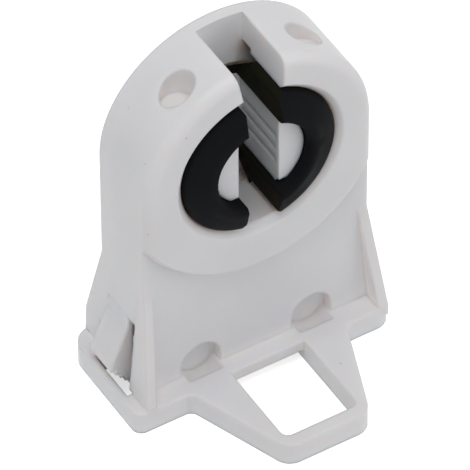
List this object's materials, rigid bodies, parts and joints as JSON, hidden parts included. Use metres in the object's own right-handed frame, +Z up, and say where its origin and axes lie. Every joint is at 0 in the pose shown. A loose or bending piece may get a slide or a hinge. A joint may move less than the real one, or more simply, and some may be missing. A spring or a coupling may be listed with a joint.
{
  "type": "fluorescent tube lamp holder",
  "caption": "Push-through lamp holder for a pin-capped fluorescent tube: a round slotted head with a black rotor, on a flange with side latches and an open front frame.",
  "frame": {"origin": "on the flange's underside, straight below the lamp axis and on the holder's middle plane", "axes": "+X to the holder's right, +Y to its back along the lamp axis, +Z up from the flange to the head"},
  "size_m": [0.0306, 0.0246, 0.0421],
  "materials": {
    "white_moulding": "semi-gloss",
    "pale_moulding": "semi-gloss",
    "black_moulding": "satin",
    "bronze": "satin"
  },
  "bodies": {
    "holder": {"housing": "white_moulding", "rear_cover": "pale_moulding", "contact_left": "bronze", "contact_right": "bronze"},
    "rotor": {"rotor": "black_moulding"}
  },
  "joints": [
    {"name": "rotor_turn", "type": "hinge", "parent": "holder", "child": "rotor", "pos_m": [0, 0, 0.0292], "axis": [0, 1, 0], "continuous": true}
  ]
}
